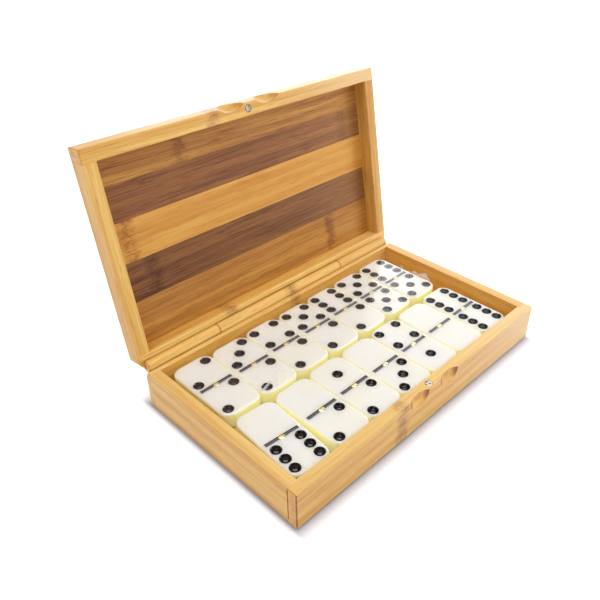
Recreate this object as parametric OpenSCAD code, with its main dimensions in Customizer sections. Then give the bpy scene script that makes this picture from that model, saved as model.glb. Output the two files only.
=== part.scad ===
// Hinged bamboo box that stores a double-six set of dominoes.
// Frame: X runs along the box from left to right, Y from the front to the hinge side, Z up.
// Origin: the centre of the underside. The lid is drawn standing open on its stop.

/* [Box] */
// Length of the box, left to right
box_len = 207; // [205:0.5:230]
// Depth of the box, front to back
box_dep = 122.5; // [122:0.5:140]
// Height of the base, from the underside to the rim
base_h = 25; // [24:0.5:40]
// Height of the lid, from its rim to its top
lid_h = 12.5; // [12:0.5:24]
// Thickness of the base's walls
wall = 7; // [6.5:0.25:8]
// Thickness of the lid's walls
lid_wall = 7.75; // [7:0.25:8.5]
// Thickness of the floor board and of the lid panel
board = 3; // [2.5:0.5:3.5]
// Rounding of the long outer edges
edge_r = 2.5; // [1:0.25:2.75]
// Rounding of the two upright corners at the front
corner_r = 0.8; // [0.4:0.1:2]
// Rounding of the two upright corners at the hinge
back_corner_r = 4; // [1:0.25:5]
// Easing of the edges round the rims
rim_r = 0.6; // [0.3:0.1:1]
// Widths of the first four strips of the lid panel, from the front
strip_w = [18.8, 19.9, 22.9, 22.9];

/* [Hinge] */
// Angle that the lid opens to, where it rests on its stop
lid_open = 99.5; // [92:0.5:115]
// Radius of the wooden hinge barrel
barrel_r = 3.8; // [3.2:0.1:4]
// Length of the middle knuckle, the one on the base
mid_knuckle = 104; // [80:1:130]
// Diameter of the steel hinge pins
pin_d = 2.5; // [1.6:0.1:3]
// Length of each hinge pin that is held in the middle knuckle
pin_grip = 15; // [8:1:30]

/* [Catch] */
// Diameter of the magnets in the front rims
magnet_d = 4.5; // [3:0.25:5]
// Height of the magnets
magnet_h = 2.5; // [1.5:0.5:4]
// Distance of each finger dish from the middle of the front
dish_x = 13.2; // [11:0.1:30]
// Diameter of a finger dish on the closed front
dish_d = 16.5; // [12:0.5:18]
// Depth of a finger dish
dish_depth = 2.6; // [1:0.1:3]

/* [Dominoes] */
// Width of a domino
tile_w = 25.4; // [24:0.1:25.6]
// Length of a domino
tile_l = 50.8; // [48:0.1:51]
// Thickness of a domino
tile_t = 9.5; // [8:0.1:9.8]
// Rounding of a domino's corners
tile_corner = 6.3; // [2:0.1:6.5]
// Rounding of a domino's edges
tile_edge = 1.2; // [0.5:0.1:1.6]
// Diameter of a pip at the face
pip_d = 5.8; // [4:0.1:6]
// Depth of the pit in the middle of a pip
pip_depth = 1.5; // [0.8:0.1:1.8]
// Diameter of the brass spinner's head
spinner_d = 3.9; // [3:0.1:4.5]

/* [Hidden] */

$fn = 48;

// Length, depth and height of the two trays. The lid stands a little proud of the base at
// both ends and at the front, as in a box that is finished by hand
lid_proud = [0.75, 0.6];
base_size = [box_len, box_dep, base_h];
lid_size = [box_len + 2*lid_proud.x, box_dep + lid_proud.y, lid_h];
// The space inside the base's walls
inner_len = box_len - 2*wall;
inner_dep = box_dep - 2*wall;

// How far the boards reach into the walls, in a rebate
rebate = 3;
// Gap between the rims of the closed box
seam = 0.3;
lid_z = base_h + seam;

// The hinge axis lies in the plane of the back face, midway between the rims
axis_y = box_dep/2;
axis_z = base_h + seam/2;
cove_r = barrel_r + 0.7;
// Sharp groove along the foot of each knuckle, where it springs from its own rim
quirk_w = 0.6;
quirk_depth = 0.7;
knuckle_gap = 0.3;
knuckle_ease = 0.5;
// The outer ends of the hinge stand back from the ends of the box and are well rounded
knuckle_end = 2.2;
knuckle_end_ease = 1.2;
pin_run = 0.1;
pin_recess = 1;
// The stop under the middle knuckle, which the back of the open lid rests on
stop_reach = cove_r + 1.3;
stop_gap = 0.15;
stop_drop = 8;

// How far the base's side walls are let into its front wall
let_in = 1.5;
// The opened corner joint of the base: its width above and below, its ends and its depth
joint_gap = 0.9;
joint_gap_low = 0.5;
joint_gap_z = [3.5, base_h - 0.8];
joint_gap_in = 2;

magnet_recess = 0.1;
magnet_x = -1.8;
magnet_y = -box_dep/2 + 3;
// Radius of the ball cutter that leaves a dish of that width and depth
dish_ball = (dish_d*dish_d/4 + dish_depth*dish_depth)/(2*dish_depth);

// Rows of dominoes: the front row lies loose, the back row is still wrapped
tile_gap = 0.35;
row_front_gap = 0.45;
row_gap = 2.65;
front_row_y = -inner_dep/2 + row_front_gap + tile_l/2;
back_row_y = front_row_y + tile_l + row_gap;
// The first stack at the front has turned a little against its neighbour
turned_x = -inner_len/2 + 14.9;
turned_angle = -4.5;
second_x = -inner_len/2 + 42.4;
wrapped_gap = 0.1;
wrapped_x = -inner_len/2 + 16.1;
// How far each stack lies from the line of its row
front_shift = [0.6, 0, 0.3, -0.2, -0.2, -0.35, 0];
back_shift = [1, -0.4, 0.1, -0.7, -0.3, 0.1, 0.3];

// The pips on the back half and the front half of each domino, from left to right
front_upper = [[0, 6], [0, 2], [1, 2], [0, 3], [4, 1], [0, 0], [6, 6]];
front_lower = [[0, 1], [0, 4], [0, 5], [1, 1], [1, 3], [1, 5], [1, 6]];
back_upper = [[2, 2], [3, 2], [4, 2], [5, 2], [6, 2], [5, 5], [6, 5]];
back_lower = [[3, 3], [3, 4], [3, 5], [3, 6], [4, 4], [4, 5], [4, 6]];
lower = 0;
upper = 1;

// Pitch of the pips across and along a domino
pip_across = 7.7;
pip_along = 7.3;
// Turning points of a pip's stepped cup, as shares of its radius and of its depth
cup = [[1, 0], [0.88, 0.23], [0.74, 0.27], [0.6, 0.63], [0.27, 0.7], [0.2, 0.97], [0, 1]];
bar_l = 20.5;
bar_w = 2;
bar_depth = 0.5;
spinner_edge = 0.25;
spinner_top = 0.6;
spinner_sunk = 0.05;
shank_d = 1.8;
shank_l = 5;

film_t = 0.15;
film_gap = 0.15;
film_r = 5;

bamboo = "#e2b36c";
bamboo_dark = "#8a5734";
bamboo_amber = "#c98f45";
ivory = "#f4f0e4";
brass = "#cfae5c";
steel = "#b9bcc0";

// ---- outlines -------------------------------------------------------------------

// Rectangle about the origin with four rounded corners
module rounded_rect(a, b, r) {
    square([a, b - 2*r], center = true);
    square([a - 2*r, b], center = true);
    for (x = [-1, 1], y = [-1, 1])
        translate([x*(a/2 - r), y*(b/2 - r)]) circle(r);
}

// Outline of the box, with its own rounding at the front and at the hinge
module box_outline(a, b, front_r, back_r) {
    translate([-a/2 + back_r, -b/2 + front_r]) square([a - 2*back_r, b - front_r]);
    translate([-a/2, -b/2 + front_r]) square([a, b - front_r - back_r]);
    translate([-a/2 + front_r, -b/2]) square([a - 2*front_r, b/2]);
    for (side = [-1, 1]) {
        translate([side*(a/2 - front_r), -b/2 + front_r]) circle(front_r);
        translate([side*(a/2 - back_r), b/2 - back_r]) circle(back_r);
    }
}

// Section of a plate that stands on y = 0, with its own rounding below and above
module eased_section(w, h, r_low, r_high) {
    translate([-w/2, r_low]) square([w, h - r_low - r_high]);
    translate([-w/2 + r_low, 0]) square([w - 2*r_low, h/2]);
    translate([-w/2 + r_high, h/2]) square([w - 2*r_high, h/2]);
    for (side = [-1, 1]) {
        translate([side*(w/2 - r_low), r_low]) circle(r_low);
        translate([side*(w/2 - r_high), h - r_high]) circle(r_high);
    }
}

// Disc on z = 0 with its own rounding below and above
module eased_disc(r, h, r_low, r_high) {
    rotate_extrude() intersection() {
        eased_section(2*r, h, r_low, r_high);
        square([r, h]);
    }
}

// Plate on z = 0 with rounded corners and its own rounding below and above
module eased_plate(a, b, h, corner, r_low, r_high) {
    translate([0, b/2 - corner, 0]) rotate([90, 0, 0])
        linear_extrude(b - 2*corner) eased_section(a, h, r_low, r_high);
    translate([-a/2 + corner, 0, 0]) rotate([90, 0, 90])
        linear_extrude(a - 2*corner) eased_section(b, h, r_low, r_high);
    for (x = [-1, 1], y = [-1, 1])
        translate([x*(a/2 - corner), y*(b/2 - corner), 0]) eased_disc(corner, h, r_low, r_high);
}

// ---- shared forms of the base and the lid ---------------------------------------

// Block on z = 0 whose long and short edges are rounded by their own sections
module tray_form(size, r_low, r_high) {
    intersection() {
        translate([-size.x/2, 0, 0]) rotate([90, 0, 90])
            linear_extrude(size.x) eased_section(size.y, size.z, r_low, r_high);
        translate([0, size.y/2, 0]) rotate([90, 0, 0])
            linear_extrude(size.y) eased_section(size.x, size.z, r_low, r_high);
        linear_extrude(size.z) box_outline(size.x, size.y, corner_r, back_corner_r);
    }
}

// The front and back walls run the full length
module long_wall(side, size, w) {
    translate([-size.x/2, side > 0 ? size.y/2 - w : -size.y/2, 0]) cube([size.x, w, size.z]);
}

// The side walls fill the length between them, and reach into the front wall
module side_wall(side, size, w, reach = 0) {
    translate([side > 0 ? size.x/2 - w : -size.x/2, w - reach - size.y/2, 0])
        cube([w, size.y - 2*w + reach, size.z]);
}

// Rebate that a board is let into, flush with the outside
module board_rebate(size, w) {
    across = [size.x - 2*(w - rebate), size.y - 2*(w - rebate)];
    translate([-across.x/2, -across.y/2, 0]) cube([across.x, across.y, board]);
}

// Quarter-round that eases an inner rim edge, along X
module ease_bar(len) {
    rotate([90, 0, 90]) linear_extrude(len, center = true) difference() {
        translate([-rim_r, 0]) square([2*rim_r, 2*rim_r]);
        translate([-rim_r, 0]) circle(rim_r);
    }
}

// Easing of the four inner edges at the height of the rim, with the opening upwards
module inner_easing(size, w, rim_z) {
    for (turn = [0, 180]) rotate([0, 0, turn])
        translate([0, w - size.y/2, rim_z - rim_r]) ease_bar(size.x - 2*w);
    for (turn = [90, 270]) rotate([0, 0, turn])
        translate([0, w - size.x/2, rim_z - rim_r]) ease_bar(size.y - 2*w);
}

// Ball-cut dishes for the fingers, half in the base and half in the lid
module finger_dishes() {
    for (side = [-1, 1])
        translate([side*dish_x, -box_dep/2 - dish_ball + dish_depth, axis_z])
            sphere(dish_ball, $fn = 96);
}

// Puts what is drawn for the closed lid where the open lid stands
module standing_open() {
    translate([0, axis_y, axis_z]) rotate([-lid_open, 0, 0])
        translate([0, -axis_y, -axis_z]) children();
}

// Round bar along the hinge axis between two places, each end with its own easing
module barrel(x_from, x_to, ease_to) {
    len = x_to - x_from;
    translate([x_from, axis_y, axis_z]) rotate([0, 90, 0]) rotate_extrude() {
        square([barrel_r - ease_to, len]);
        translate([0, knuckle_ease]) square([barrel_r, len - knuckle_ease - ease_to]);
        square([barrel_r - knuckle_ease, len/2]);
        intersection() {
            translate([barrel_r - knuckle_ease, knuckle_ease]) circle(knuckle_ease);
            square([barrel_r, len/2]);
        }
        intersection() {
            translate([barrel_r - ease_to, len - ease_to]) circle(ease_to);
            square([barrel_r, len]);
        }
    }
}

module axis_bore(x_from, x_to, d) {
    translate([x_from, axis_y, axis_z]) rotate([0, 90, 0])
        cylinder(d = d, h = x_to - x_from);
}

// Cutter of the groove along a knuckle's foot, between two places on a rim at that height
module quirk(x_from, x_to, rim_z) {
    translate([x_from, axis_y - barrel_r - quirk_w, rim_z - quirk_depth])
        cube([x_to - x_from, quirk_w + barrel_r/2, 2*quirk_depth]);
}

// ---- base -----------------------------------------------------------------------

module base_front_wall() {
    color(bamboo) difference() {
        intersection() {
            tray_form(base_size, edge_r, rim_r);
            long_wall(-1, base_size, wall);
        }
        board_rebate(base_size, wall);
        inner_easing(base_size, wall, base_h);
        finger_dishes();
        for (side = [-1, 1]) side_wall(side, base_size, wall, let_in);
        translate([magnet_x, magnet_y, base_h - magnet_h - magnet_recess])
            cylinder(d = magnet_d, h = magnet_h + 1);
    }
}

// Stop under the middle knuckle: a land along the back of the open lid, then a ramp
module stop_section() {
    tip = stop_reach*[sin(lid_open), cos(lid_open)] + stop_gap*[cos(lid_open), -sin(lid_open)];
    polygon([[-1, -0.5], [stop_gap*cos(lid_open), -stop_gap], tip, tip - [0, 1.5],
        [0, -stop_drop], [-1, -stop_drop]]);
}

module base_back_wall() {
    knuckle = mid_knuckle/2 - knuckle_gap/2;
    color(bamboo) difference() {
        union() {
            difference() {
                intersection() {
                    tray_form(base_size, edge_r, rim_r);
                    long_wall(1, base_size, wall);
                }
                board_rebate(base_size, wall);
                inner_easing(base_size, wall, base_h);
                quirk(-knuckle, knuckle, base_h);
                for (side = [-1, 1])
                    translate([side*(knuckle + box_len/2), axis_y, axis_z]) rotate([0, 90, 0])
                        cylinder(r = cove_r, h = box_len, center = true);
            }
            barrel(-knuckle, knuckle, knuckle_ease);
            translate([-knuckle + knuckle_ease, axis_y, axis_z]) rotate([90, 0, 90])
                linear_extrude(2*(knuckle - knuckle_ease)) stop_section();
        }
        axis_bore(-knuckle - 1, -knuckle + pin_grip, pin_d);
        axis_bore(knuckle - pin_grip, knuckle + 1, pin_d);
    }
}

// Gap where the front end of the left wall has opened from the front wall: a slot down the
// outside that widens towards the rim, and a nick at the inner corner of the rim
module opened_joint() {
    translate([-box_len/2, -inner_dep/2 - let_in, 0]) rotate([90, 0, 90])
        linear_extrude(2*joint_gap_in, center = true)
            polygon([[-1, joint_gap_z[0]], [joint_gap_low, joint_gap_z[0]],
                [joint_gap, joint_gap_z[1]], [-1, joint_gap_z[1]]]);
    translate([-inner_len/2, -inner_dep/2, base_h])
        cube([joint_gap, joint_gap, 2*joint_gap], center = true);
}

module base_side_wall(side) {
    color(bamboo) difference() {
        intersection() {
            tray_form(base_size, edge_r, rim_r);
            side_wall(side, base_size, wall, let_in);
        }
        board_rebate(base_size, wall);
        inner_easing(base_size, wall, base_h);
        if (side < 0) opened_joint();
    }
}

module base_floor() {
    color(bamboo) board_rebate(base_size, wall);
}

module base_magnet() {
    color(steel) translate([magnet_x, magnet_y, base_h - magnet_h - magnet_recess])
        cylinder(d = magnet_d, h = magnet_h);
}

// Steel pin from the end of the box through an outer knuckle into the middle one
module hinge_pin(side) {
    inner_end = mid_knuckle/2 - knuckle_gap/2 - pin_grip;
    outer_end = box_len/2 - knuckle_end - pin_recess;
    color(steel) mirror([side < 0 ? 1 : 0, 0, 0]) axis_bore(inner_end, outer_end, pin_d);
}

// ---- lid, drawn closed and then stood open --------------------------------------

// Puts the lid's own tray, rim down on z = 0, where it lies on the closed base
module lid_place() {
    translate([0, -lid_proud.y/2, lid_z]) children();
}

module lid_form() {
    lid_place() tray_form(lid_size, rim_r, edge_r);
}

// Rebate for the panel at the top, and the easing of the rim below
module lid_cuts() {
    lid_place() {
        translate([0, 0, lid_h - board]) board_rebate(lid_size, lid_wall);
        mirror([0, 0, 1]) inner_easing(lid_size, lid_wall, 0);
    }
}

module lid_front_wall() {
    color(bamboo) standing_open() difference() {
        intersection() {
            lid_form();
            lid_place() long_wall(-1, lid_size, lid_wall);
        }
        lid_cuts();
        finger_dishes();
        translate([magnet_x, magnet_y, lid_z - 1])
            cylinder(d = magnet_d, h = 1 + magnet_h + magnet_recess);
    }
}

module lid_back_wall() {
    knuckle = mid_knuckle/2 + knuckle_gap/2;
    end = box_len/2 - knuckle_end;
    color(bamboo) standing_open() difference() {
        union() {
            difference() {
                intersection() {
                    lid_form();
                    lid_place() long_wall(1, lid_size, lid_wall);
                }
                lid_cuts();
                axis_bore(-knuckle, knuckle, 2*cove_r);
                for (side = [-1, 1])
                    mirror([side < 0 ? 1 : 0, 0, 0]) quirk(knuckle, box_len/2 + 1, lid_z);
            }
            for (side = [-1, 1])
                mirror([side < 0 ? 1 : 0, 0, 0]) barrel(knuckle, end, knuckle_end_ease);
        }
        axis_bore(knuckle - 1, end + 1, pin_d + pin_run);
        axis_bore(-end - 1, -knuckle + 1, pin_d + pin_run);
    }
}

module lid_side_wall(side) {
    color(bamboo) standing_open() difference() {
        intersection() {
            lid_form();
            lid_place() side_wall(side, lid_size, lid_wall);
        }
        lid_cuts();
    }
}

// Edges of the panel's strips, from the front
function strip_edge(i) =
    i == 0 ? lid_wall - rebate - lid_size.y/2 :
    i == 5 ? lid_size.y/2 - lid_wall + rebate :
    strip_edge(i - 1) + strip_w[i - 1];

// One strip of the striped lid panel, glued edge to edge with the next
module lid_strip(i, tone) {
    strip_l = lid_size.x - 2*(lid_wall - rebate);
    color(tone) standing_open() lid_place()
        translate([-strip_l/2, strip_edge(i - 1), lid_h - board])
            cube([strip_l, strip_edge(i) - strip_edge(i - 1), board]);
}

module lid_magnet() {
    color(steel) standing_open()
        translate([magnet_x, magnet_y, lid_z + magnet_recess])
            cylinder(d = magnet_d, h = magnet_h);
}

// ---- dominoes -------------------------------------------------------------------

// Places of the pips on one half, as steps across and along from its middle
function pips(n) = concat(
    n % 2 == 1 ? [[0, 0]] : [],
    n >= 2 ? [[1, 1], [-1, -1]] : [],
    n >= 4 ? [[-1, 1], [1, -1]] : [],
    n == 6 ? [[-1, 0], [1, 0]] : []);

// Cutter of a pip: a turned cup with a ledge round its wall and a small pit in its floor
module pip_cutter() {
    rotate_extrude() polygon(concat([[0, 1], [pip_d/2, 1]],
        [for (turn = cup) [turn.x*pip_d/2, -turn.y*pip_depth]]));
}

// Domino with its face up and its back on z = 0
module domino(faces) {
    difference() {
        eased_plate(tile_w, tile_l, tile_t, tile_corner, tile_edge, tile_edge);
        for (half = [0, 1], p = pips(faces[half]))
            translate([p.x*pip_across, (half == 0 ? 1 : -1)*tile_l/4 + p.y*pip_along, tile_t])
                pip_cutter();
        translate([-bar_l/2, -bar_w/2, tile_t - bar_depth]) cube([bar_l, bar_w, bar_depth + 1]);
        translate([0, 0, tile_t - spinner_sunk - spinner_top]) cylinder(d = spinner_d, h = 2);
        translate([0, 0, tile_t - spinner_sunk - spinner_top - shank_l])
            cylinder(d = shank_d, h = shank_l + 1);
    }
}

// Brass spinner: a domed head on a shank that is driven into the domino
module spinner() {
    rise = spinner_top - spinner_edge;
    dome = (spinner_d*spinner_d/4 + rise*rise)/(2*rise);
    translate([0, 0, tile_t - spinner_sunk - spinner_top]) {
        translate([0, 0, -shank_l]) cylinder(d = shank_d, h = shank_l + spinner_edge);
        intersection() {
            cylinder(d = spinner_d, h = spinner_top);
            translate([0, 0, spinner_top - dome]) sphere(dome);
        }
    }
}

// Place of a loose front stack, counted from the left, and of one of its two layers
module in_front_row(column, layer) {
    x = column == 0 ? turned_x : second_x + (column - 1)*(tile_w + tile_gap);
    translate([x, front_row_y + front_shift[column], board + layer*tile_t])
        rotate([0, 0, column == 0 ? turned_angle : 0]) children();
}

// Place in the wrapped back row
module in_back_row(column, layer) {
    translate([wrapped_x + column*(tile_w + wrapped_gap), back_row_y + back_shift[column],
        board + film_t + layer*tile_t]) children();
}

module front_tile(column, layer) {
    faces = layer == upper ? front_upper[column] : front_lower[column];
    color(ivory) in_front_row(column, layer) domino(faces);
}

module front_spinner(column, layer) {
    color(brass) in_front_row(column, layer) spinner();
}

module back_tile(column) {
    color(ivory) in_back_row(column, upper) domino(back_upper[column]);
}

module wrapped_lower_tiles() {
    color(ivory) for (column = [0 : 6])
        in_back_row(column, lower) domino(back_lower[column]);
}

module wrapped_spinners() {
    color(brass) for (column = [0 : 6], layer = [lower, upper])
        in_back_row(column, layer) spinner();
}

// Clear film shrunk round the fourteen dominoes of the back row
module shrink_film() {
    x_from = wrapped_x - tile_w/2 - film_gap;
    x_to = wrapped_x + 6*(tile_w + wrapped_gap) + tile_w/2 + film_gap;
    y_from = back_row_y + min(back_shift) - tile_l/2 - film_gap;
    y_to = back_row_y + max(back_shift) + tile_l/2 + film_gap;
    color("white", 0.25)
        translate([(x_from + x_to)/2, (y_from + y_to)/2, board]) difference() {
            linear_extrude(2*tile_t + 2*film_t)
                rounded_rect(x_to - x_from + 2*film_t, y_to - y_from + 2*film_t, film_r);
            translate([0, 0, film_t]) linear_extrude(2*tile_t)
                rounded_rect(x_to - x_from, y_to - y_from, film_r - film_t);
        }
}

// ---- nodes ----------------------------------------------------------------------

base_front_wall();
base_back_wall();
base_side_wall(-1);  // base_left_wall
base_side_wall(1);  // base_right_wall
base_floor();
base_magnet();
hinge_pin(-1);  // hinge_pin_left
hinge_pin(1);  // hinge_pin_right

lid_front_wall();
lid_back_wall();
lid_side_wall(-1);  // lid_left_wall
lid_side_wall(1);  // lid_right_wall
lid_strip(1, bamboo_amber);  // lid_strip_1
lid_strip(2, bamboo_dark);  // lid_strip_2
lid_strip(3, bamboo);  // lid_strip_3
lid_strip(4, bamboo_dark);  // lid_strip_4
lid_strip(5, bamboo_amber);  // lid_strip_5
lid_magnet();

front_tile(0, upper);  // tile_0_6
front_tile(1, upper);  // tile_0_2
front_tile(2, upper);  // tile_1_2
front_tile(3, upper);  // tile_0_3
front_tile(4, upper);  // tile_4_1
front_tile(5, upper);  // tile_0_0
front_tile(6, upper);  // tile_6_6
front_tile(0, lower);  // tile_0_1
front_tile(1, lower);  // tile_0_4
front_tile(2, lower);  // tile_0_5
front_tile(3, lower);  // tile_1_1
front_tile(4, lower);  // tile_1_3
front_tile(5, lower);  // tile_1_5
front_tile(6, lower);  // tile_1_6

front_spinner(0, upper);  // spinner_0_6
front_spinner(1, upper);  // spinner_0_2
front_spinner(2, upper);  // spinner_1_2
front_spinner(3, upper);  // spinner_0_3
front_spinner(4, upper);  // spinner_4_1
front_spinner(5, upper);  // spinner_0_0
front_spinner(6, upper);  // spinner_6_6
front_spinner(0, lower);  // spinner_0_1
front_spinner(1, lower);  // spinner_0_4
front_spinner(2, lower);  // spinner_0_5
front_spinner(3, lower);  // spinner_1_1
front_spinner(4, lower);  // spinner_1_3
front_spinner(5, lower);  // spinner_1_5
front_spinner(6, lower);  // spinner_1_6

back_tile(0);  // tile_2_2
back_tile(1);  // tile_3_2
back_tile(2);  // tile_4_2
back_tile(3);  // tile_5_2
back_tile(4);  // tile_6_2
back_tile(5);  // tile_5_5
back_tile(6);  // tile_6_5
wrapped_lower_tiles();
wrapped_spinners();
shrink_film();
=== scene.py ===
import math

import bmesh
import bpy
from mathutils import Matrix, Vector, noise


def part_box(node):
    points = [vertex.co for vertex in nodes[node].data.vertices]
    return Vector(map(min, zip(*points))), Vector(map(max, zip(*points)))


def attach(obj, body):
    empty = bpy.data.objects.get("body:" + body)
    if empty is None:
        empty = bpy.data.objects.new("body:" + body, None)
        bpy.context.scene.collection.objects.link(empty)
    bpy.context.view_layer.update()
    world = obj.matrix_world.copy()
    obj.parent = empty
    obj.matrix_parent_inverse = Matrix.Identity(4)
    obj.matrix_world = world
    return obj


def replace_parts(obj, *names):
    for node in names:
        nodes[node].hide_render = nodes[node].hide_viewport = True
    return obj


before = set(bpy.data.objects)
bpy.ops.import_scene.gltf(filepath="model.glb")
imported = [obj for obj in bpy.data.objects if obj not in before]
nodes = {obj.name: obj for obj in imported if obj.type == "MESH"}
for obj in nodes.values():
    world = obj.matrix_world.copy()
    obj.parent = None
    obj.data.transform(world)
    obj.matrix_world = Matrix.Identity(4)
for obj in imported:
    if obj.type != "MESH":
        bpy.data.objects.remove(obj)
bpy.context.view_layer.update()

# ---- Camera ----------------------------------------------------------------------
# Looks down past the front left corner, so that the open lid, the hinge and the
# dominoes all show.
EYE = Vector((-0.2316, -0.2032, 0.2603))
HEADING, DIP, LEAN = math.radians(46.67), math.radians(-33.72), math.radians(0.77)
FRAME_PX, FOCAL_PX = 600, 652.2
SHIFT_RIGHT_PX, SHIFT_UP_PX = 33.4, 6.2
SENSOR_MM = 36


def put_in_scene(name, data):
    """A new object with this data, standing in the scene."""
    made = bpy.data.objects.new(name, data)
    bpy.context.scene.collection.objects.link(made)
    return made


camera = put_in_scene("camera", bpy.data.cameras.new("camera"))
camera.data.sensor_width = SENSOR_MM
camera.data.lens = SENSOR_MM * FOCAL_PX / FRAME_PX
camera.data.shift_x = -SHIFT_RIGHT_PX / FRAME_PX
camera.data.shift_y = -SHIFT_UP_PX / FRAME_PX
camera.matrix_world = (Matrix.Translation(EYE) @ Matrix.Rotation(-HEADING, 4, "Z")
                       @ Matrix.Rotation(math.pi / 2 + DIP, 4, "X")
                       @ Matrix.Rotation(LEAN, 4, "Z"))
bpy.context.scene.camera = camera

# ---- Table, white surround and lamps ---------------------------------------------
# A sheet of white paper on a table that is lit from below, in a white tent: bright
# all round, dim above, with a wide diffuser overhead and soft lamps at the sides.
bpy.context.scene.view_settings.view_transform = "Standard"
WHITE = (1, 1, 1, 1)


def tint(red, green, blue):
    """A display colour, 0 to 255, as the linear colour that shaders take."""
    linear = [c / 12.92 if c <= 0.04045 else ((c + 0.055) / 1.055) ** 2.4
              for c in (red / 255, green / 255, blue / 255)]
    return (*linear, 1.0)


def new_finish(name):
    """An empty material, and its tree to build the finish in."""
    finish = bpy.data.materials.new(name)
    finish.use_nodes = True
    finish.node_tree.nodes.clear()
    return finish, finish.node_tree


def feed(socket, value):
    """Link a socket to another one, or set it to a number or colour."""
    if isinstance(value, bpy.types.NodeSocket):
        socket.id_data.links.new(value, socket)
    else:
        socket.default_value = value


def add(tree, kind, inputs=(), **settings):
    """A new shader node with its settings, its inputs linked or set."""
    made = tree.nodes.new("ShaderNode" + kind)
    for name, value in settings.items():
        setattr(made, name, value)
    for name, value in dict(inputs).items():
        feed(made.inputs[name], value)
    return made


def cover(tree, shader):
    """Make this shader the finish's surface."""
    add(tree, "OutputMaterial", {"Surface": shader.outputs[0]})


def reckon(tree, operation, first, second=0.0, third=0.0, clamp=False):
    return add(tree, "Math", {0: first, 1: second, 2: third}, operation=operation,
               use_clamp=clamp).outputs[0]


def fade(tree, value, low, high, to_low=0.0, to_high=1.0):
    """Smooth step of a value from low to high."""
    return add(tree, "MapRange", {"Value": value, "From Min": low, "From Max": high,
                                  "To Min": to_low, "To Max": to_high},
               interpolation_type="SMOOTHSTEP").outputs[0]


def blend_tone(tree, factor, first, second, kind="MIX"):
    mixed = add(tree, "Mix", {"Factor": factor}, data_type="RGBA", blend_type=kind)
    feed(mixed.inputs[6], first)
    feed(mixed.inputs[7], second)
    return mixed.outputs[2]


def axes(tree, vector):
    return add(tree, "SeparateXYZ", {0: vector}).outputs


def length_of(tree, vector):
    return add(tree, "VectorMath", {0: vector}, operation="LENGTH").outputs["Value"]


def seen_directly(tree):
    """1 for what the camera sees straight, in a gloss or through glass, else 0."""
    path = add(tree, "LightPath").outputs
    seen = reckon(tree, "ADD", path["Is Camera Ray"], path["Is Glossy Ray"])
    return reckon(tree, "ADD", seen, path["Is Transmission Ray"], clamp=True)


# White wall up to WALL_TOP, dim above it, and the diffuser from DIFFUSER_EDGE up, given
# as the height of a direction of length 1
SURROUND_LIGHT, DIM, DIFFUSER = 0.56, 0.06, 2.6
WALL_TOP, DIFFUSER_EDGE = (0.36, 0.64), (0.77, 0.87)
world = bpy.data.worlds.new("surround")
world.use_nodes = True
bpy.context.scene.world = world
tent = world.node_tree
tent.nodes.clear()
tent_height = axes(tent, add(tent, "TexCoord").outputs["Generated"])["Z"]
tent_seen = reckon(tent, "MAXIMUM", fade(tent, tent_height, *WALL_TOP, 1.0, DIM),
                   fade(tent, tent_height, *DIFFUSER_EDGE, DIM, DIFFUSER))
tent_strength = add(tent, "MapRange", {"Value": seen_directly(tent), "To Min": SURROUND_LIGHT,
                                       "To Max": tent_seen})
tent_light = add(tent, "Background", {"Color": WHITE, "Strength": tent_strength.outputs[0]})
add(tent, "OutputWorld", {"Surface": tent_light.outputs[0]})

TABLE_REACH, TABLE_TOP = 4.0, -0.0001
table = put_in_scene("table", bpy.data.meshes.new("table"))
table.data.from_pydata([(x * TABLE_REACH, y * TABLE_REACH, TABLE_TOP)
                        for x, y in ((-1, -1), (1, -1), (1, 1), (-1, 1))], [], [(0, 1, 2, 3)])

# Painted contact shadow: in a narrow band round the foot of the box the paper is coloured
# darker and its glow is cut back. The band is tighter at the ends of the box than along its
# front.
NEAR_GLOW, FAR_GLOW, FAR_GLOW_FROM, FAR_GLOW_FULL = 0.68, 0.20, 0.35, 1.1
PAINTED_SHADOW_BAND, PAINTED_SHADOW_CURVE = 0.0095, 1.6
BOX_HALF, TIGHTNESS = (0.1035, 0.0612), (1.8, 0.62)
PAPER_PAINTED_SHADOW, PAPER_OPEN = (0.52, 0.52, 0.57, 1), (0.84, 0.83, 0.88, 1)

paper, paper_tree = new_finish("white_paper")
paper_place = add(paper_tree, "TexCoord").outputs["Object"]
past_box = {}
for side, half, tightness in zip("XY", BOX_HALF, TIGHTNESS):
    off_middle = reckon(paper_tree, "ABSOLUTE", axes(paper_tree, paper_place)[side])
    past = reckon(paper_tree, "MAXIMUM", reckon(paper_tree, "SUBTRACT", off_middle, half))
    past_box[side] = reckon(paper_tree, "MULTIPLY", past, tightness)
paper_reach = length_of(paper_tree, add(paper_tree, "CombineXYZ", past_box).outputs[0])
painted_shadow_closeness = add(paper_tree, "MapRange", {"Value": paper_reach, "From Max": PAINTED_SHADOW_BAND,
                                         "To Min": 1.0, "To Max": 0.0}).outputs[0]
paper_open = reckon(paper_tree, "SUBTRACT", 1.0,
                    reckon(paper_tree, "POWER", painted_shadow_closeness, PAINTED_SHADOW_CURVE))
paper_tone = blend_tone(paper_tree, paper_open, PAPER_PAINTED_SHADOW, PAPER_OPEN)
paper_shade = add(paper_tree, "BsdfDiffuse", {"Color": paper_tone})
paper_lift = fade(paper_tree, length_of(paper_tree, paper_place), FAR_GLOW_FROM,
                  FAR_GLOW_FULL, 0.0, FAR_GLOW)
paper_lift = reckon(paper_tree, "ADD", paper_lift,
                    reckon(paper_tree, "MULTIPLY", paper_open, NEAR_GLOW))
paper_lift = reckon(paper_tree, "MULTIPLY", seen_directly(paper_tree), paper_lift)
paper_glow = add(paper_tree, "Emission", {"Color": WHITE, "Strength": paper_lift})
cover(paper_tree, add(paper_tree, "AddShader", {0: paper_shade.outputs[0],
                                                1: paper_glow.outputs[0]}))
table.data.materials.append(paper)

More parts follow.
